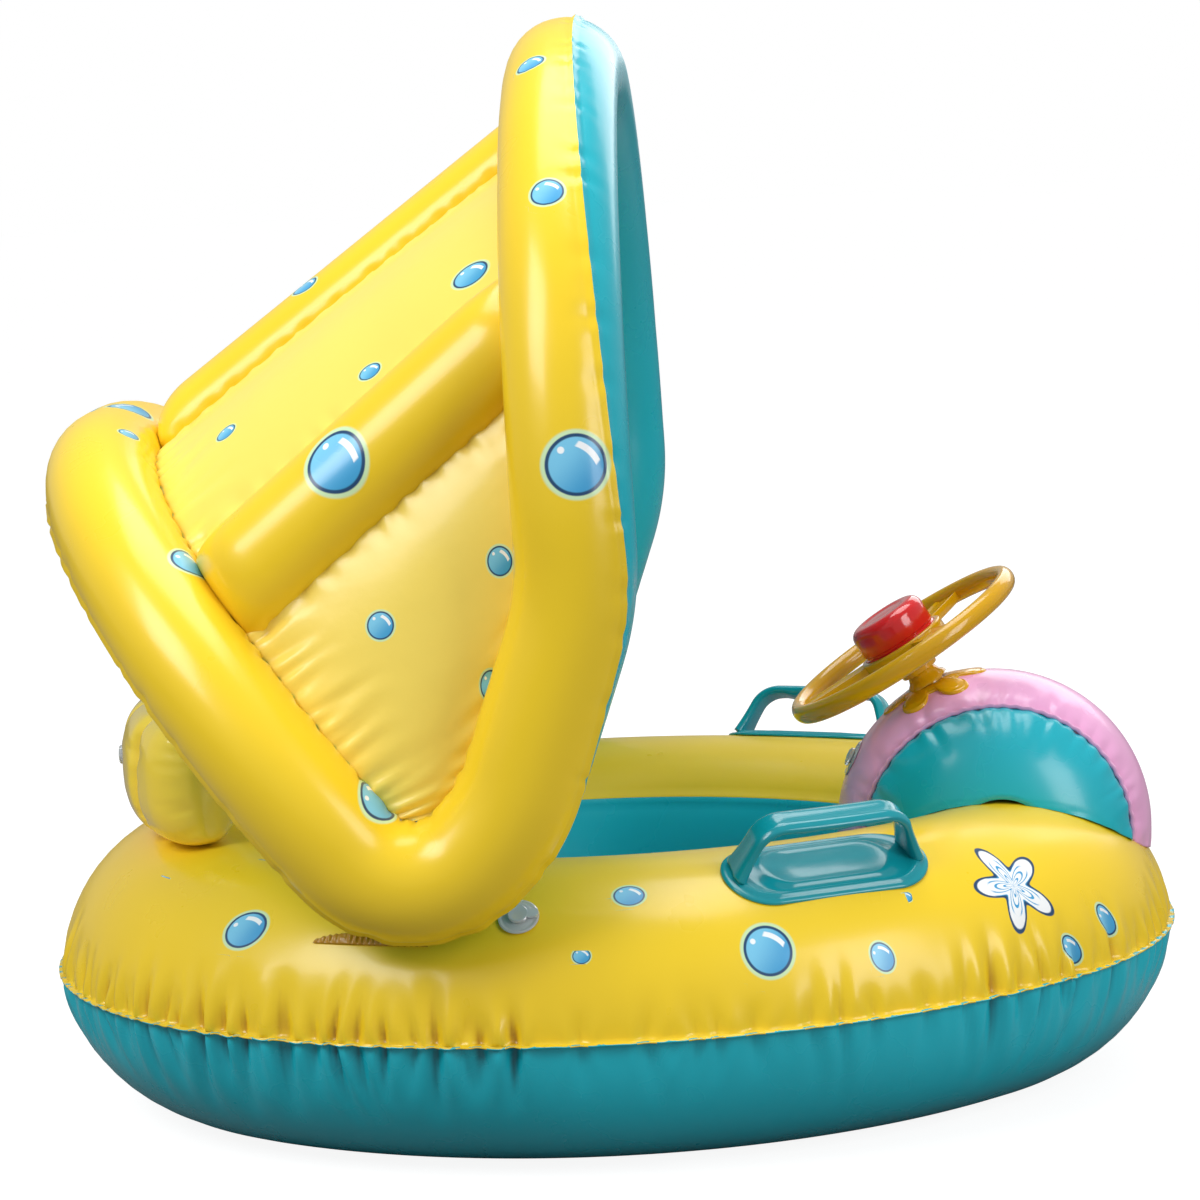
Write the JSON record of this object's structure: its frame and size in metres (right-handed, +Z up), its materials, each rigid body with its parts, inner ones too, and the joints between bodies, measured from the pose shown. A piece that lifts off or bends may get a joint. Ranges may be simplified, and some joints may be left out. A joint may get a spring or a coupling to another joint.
{
  "type": "inflatable baby swim float",
  "caption": "Oval inflatable seat ring for a baby, with a tilting sun hood, a padded backrest, side handles and a toy steering wheel with a horn button on a bow console.",
  "frame": {"origin": "on the floor under the middle of the hull ring's plan outline", "axes": "+X to the bow, +Y to port, +Z up"},
  "size_m": [0.711, 0.631, 0.665],
  "materials": {
    "yellow_film": "glossy printed PVC film",
    "teal_film": "glossy PVC film",
    "clear_yellow_film": "glossy translucent PVC film",
    "pink_film": "glossy PVC film",
    "amber_plastic": "moulded translucent plastic",
    "teal_grip": "moulded translucent PVC",
    "red_button": "moulded plastic",
    "squeaker_rubber": "soft moulded rubber",
    "clear_valve": "clear moulded PVC"
  },
  "bodies": {
    "hull": {"hull_upper_skin": "yellow_film", "hull_lower_skin": "teal_film", "seat_sling": "teal_film", "backrest_cushion": "clear_yellow_film", "column_flange": "amber_plastic", "steering_column": "amber_plastic", "wheel_retainer": "amber_plastic", "handle_port": "teal_grip", "handle_starboard": "teal_grip", "canopy_weld_port": "yellow_film", "canopy_weld_starboard": "yellow_film", "console_centre_band": "pink_film", "console_port_panel": "teal_film", "console_starboard_panel": "teal_film", "hull_valve": "clear_valve", "console_valve": "clear_valve", "backrest_valve": "clear_valve"},
    "canopy": {"canopy_rear_tube": "yellow_film", "canopy_front_tube": "yellow_film", "canopy_centre_rib": "yellow_film", "canopy_starboard_rib": "yellow_film", "canopy_port_rib": "yellow_film", "canopy_starboard_roof": "yellow_film", "canopy_port_roof": "yellow_film", "canopy_starboard_web": "yellow_film", "canopy_port_web": "yellow_film", "canopy_valve": "clear_valve"},
    "wheel": {"steering_wheel": "amber_plastic"},
    "horn": {"horn_button": "red_button", "horn_squeaker": "squeaker_rubber"},
    "hull_plug": {"hull_valve_plug": "clear_valve"},
    "console_plug": {"console_valve_plug": "clear_valve"},
    "backrest_plug": {"backrest_valve_plug": "clear_valve"},
    "canopy_plug": {"canopy_valve_plug": "clear_valve"}
  },
  "joints": [
    {"name": "canopy_tilt", "type": "hinge", "parent": "hull", "child": "canopy", "pos_m": [-0.097, 0, 0.232], "axis": [0, 1, 0], "range_deg": [-25, 40]},
    {"name": "wheel_turn", "type": "hinge", "parent": "hull", "child": "wheel", "pos_m": [0.191, 0, 0.263], "axis": [-0.515, 0, 0.8572], "continuous": true},
    {"name": "horn_press", "type": "slide", "parent": "wheel", "child": "horn", "axis": [0.515, 0, -0.8572], "range_m": [0, 0.003], "stiffness_N_per_m": 600},
    {"name": "hull_plug_pull", "type": "slide", "parent": "hull", "child": "hull_plug", "axis": [-0.056, -0.6403, 0.766], "range_m": [0, 0.01]},
    {"name": "console_plug_pull", "type": "slide", "parent": "hull", "child": "console_plug", "axis": [-0.8829, 0, 0.4695], "range_m": [0, 0.01]},
    {"name": "backrest_plug_pull", "type": "slide", "parent": "hull", "child": "backrest_plug", "axis": [-1, 0, 0], "range_m": [0, 0.01]},
    {"name": "canopy_plug_pull", "type": "slide", "parent": "canopy", "child": "canopy_plug", "axis": [-1, 0, 0], "range_m": [0, 0.01]}
  ]
}
